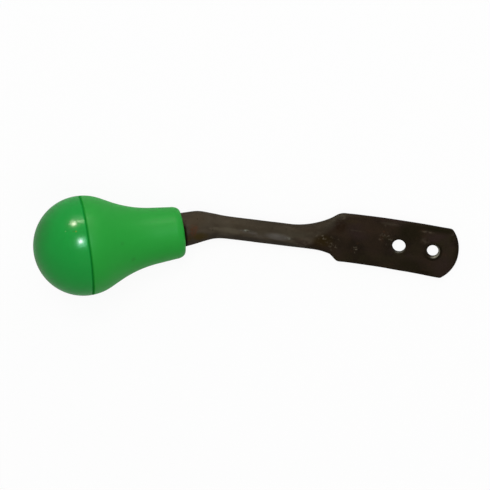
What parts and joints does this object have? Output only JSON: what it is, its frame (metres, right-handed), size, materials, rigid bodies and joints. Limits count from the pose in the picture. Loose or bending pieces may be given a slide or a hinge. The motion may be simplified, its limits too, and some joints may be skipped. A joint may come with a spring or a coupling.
{
  "type": "hand lever",
  "caption": "Hand lever: bent round steel arm flattened into a drilled blade at one end, with a hollow pear-shaped plastic knob bolted to the other.",
  "frame": {"origin": "on the blade's flat back face, midway between its two bolt holes", "axes": "+X along the line of the two bolt holes, from the knob towards the blade's rounded tip; +Z square to the blade, out of its front face, the side to which the knob is offset; +Y across the blade, away from the side to which the knob droops"},
  "size_m": [0.2103, 0.0572, 0.05],
  "materials": {
    "forged_steel": "satin",
    "green_plastic": "satin",
    "zinc_steel": "satin"
  },
  "bodies": {
    "root": {"lever_arm": "forged_steel", "knob_body": "green_plastic", "knob_cap": "green_plastic", "flat_washer": "zinc_steel", "spring_lock_washer": "zinc_steel", "retaining_nut": "zinc_steel"}
  },
  "joints": []
}
